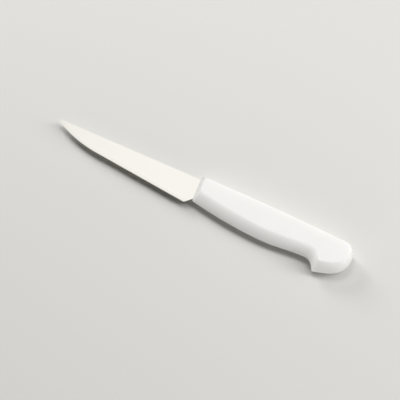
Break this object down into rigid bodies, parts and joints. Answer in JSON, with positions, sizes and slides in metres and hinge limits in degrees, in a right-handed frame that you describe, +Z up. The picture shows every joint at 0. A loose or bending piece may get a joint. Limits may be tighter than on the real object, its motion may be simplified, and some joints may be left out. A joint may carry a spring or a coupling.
{
  "type": "cheese knife",
  "caption": "Plain pointed cheese knife: a straight-spined, flat-ground steel blade with a cut heel corner, its tang moulded into a white plastic handle with a hooked pommel.",
  "frame": {"origin": "middle of the knife's box, in the plane that the handle's lower flat rests on", "axes": "+X from the tip to the butt, +Y from the cutting edge to the spine, +Z up, square to the sides of blade and handle"},
  "size_m": [0.2502, 0.0324, 0.0135],
  "materials": {
    "blade_steel": "fine satin grind, brighter bevel along the cutting edge",
    "handle_plastic": "white moulded polypropylene, half matt"
  },
  "bodies": {
    "root": {"blade": "blade_steel", "handle": "handle_plastic"}
  },
  "joints": []
}
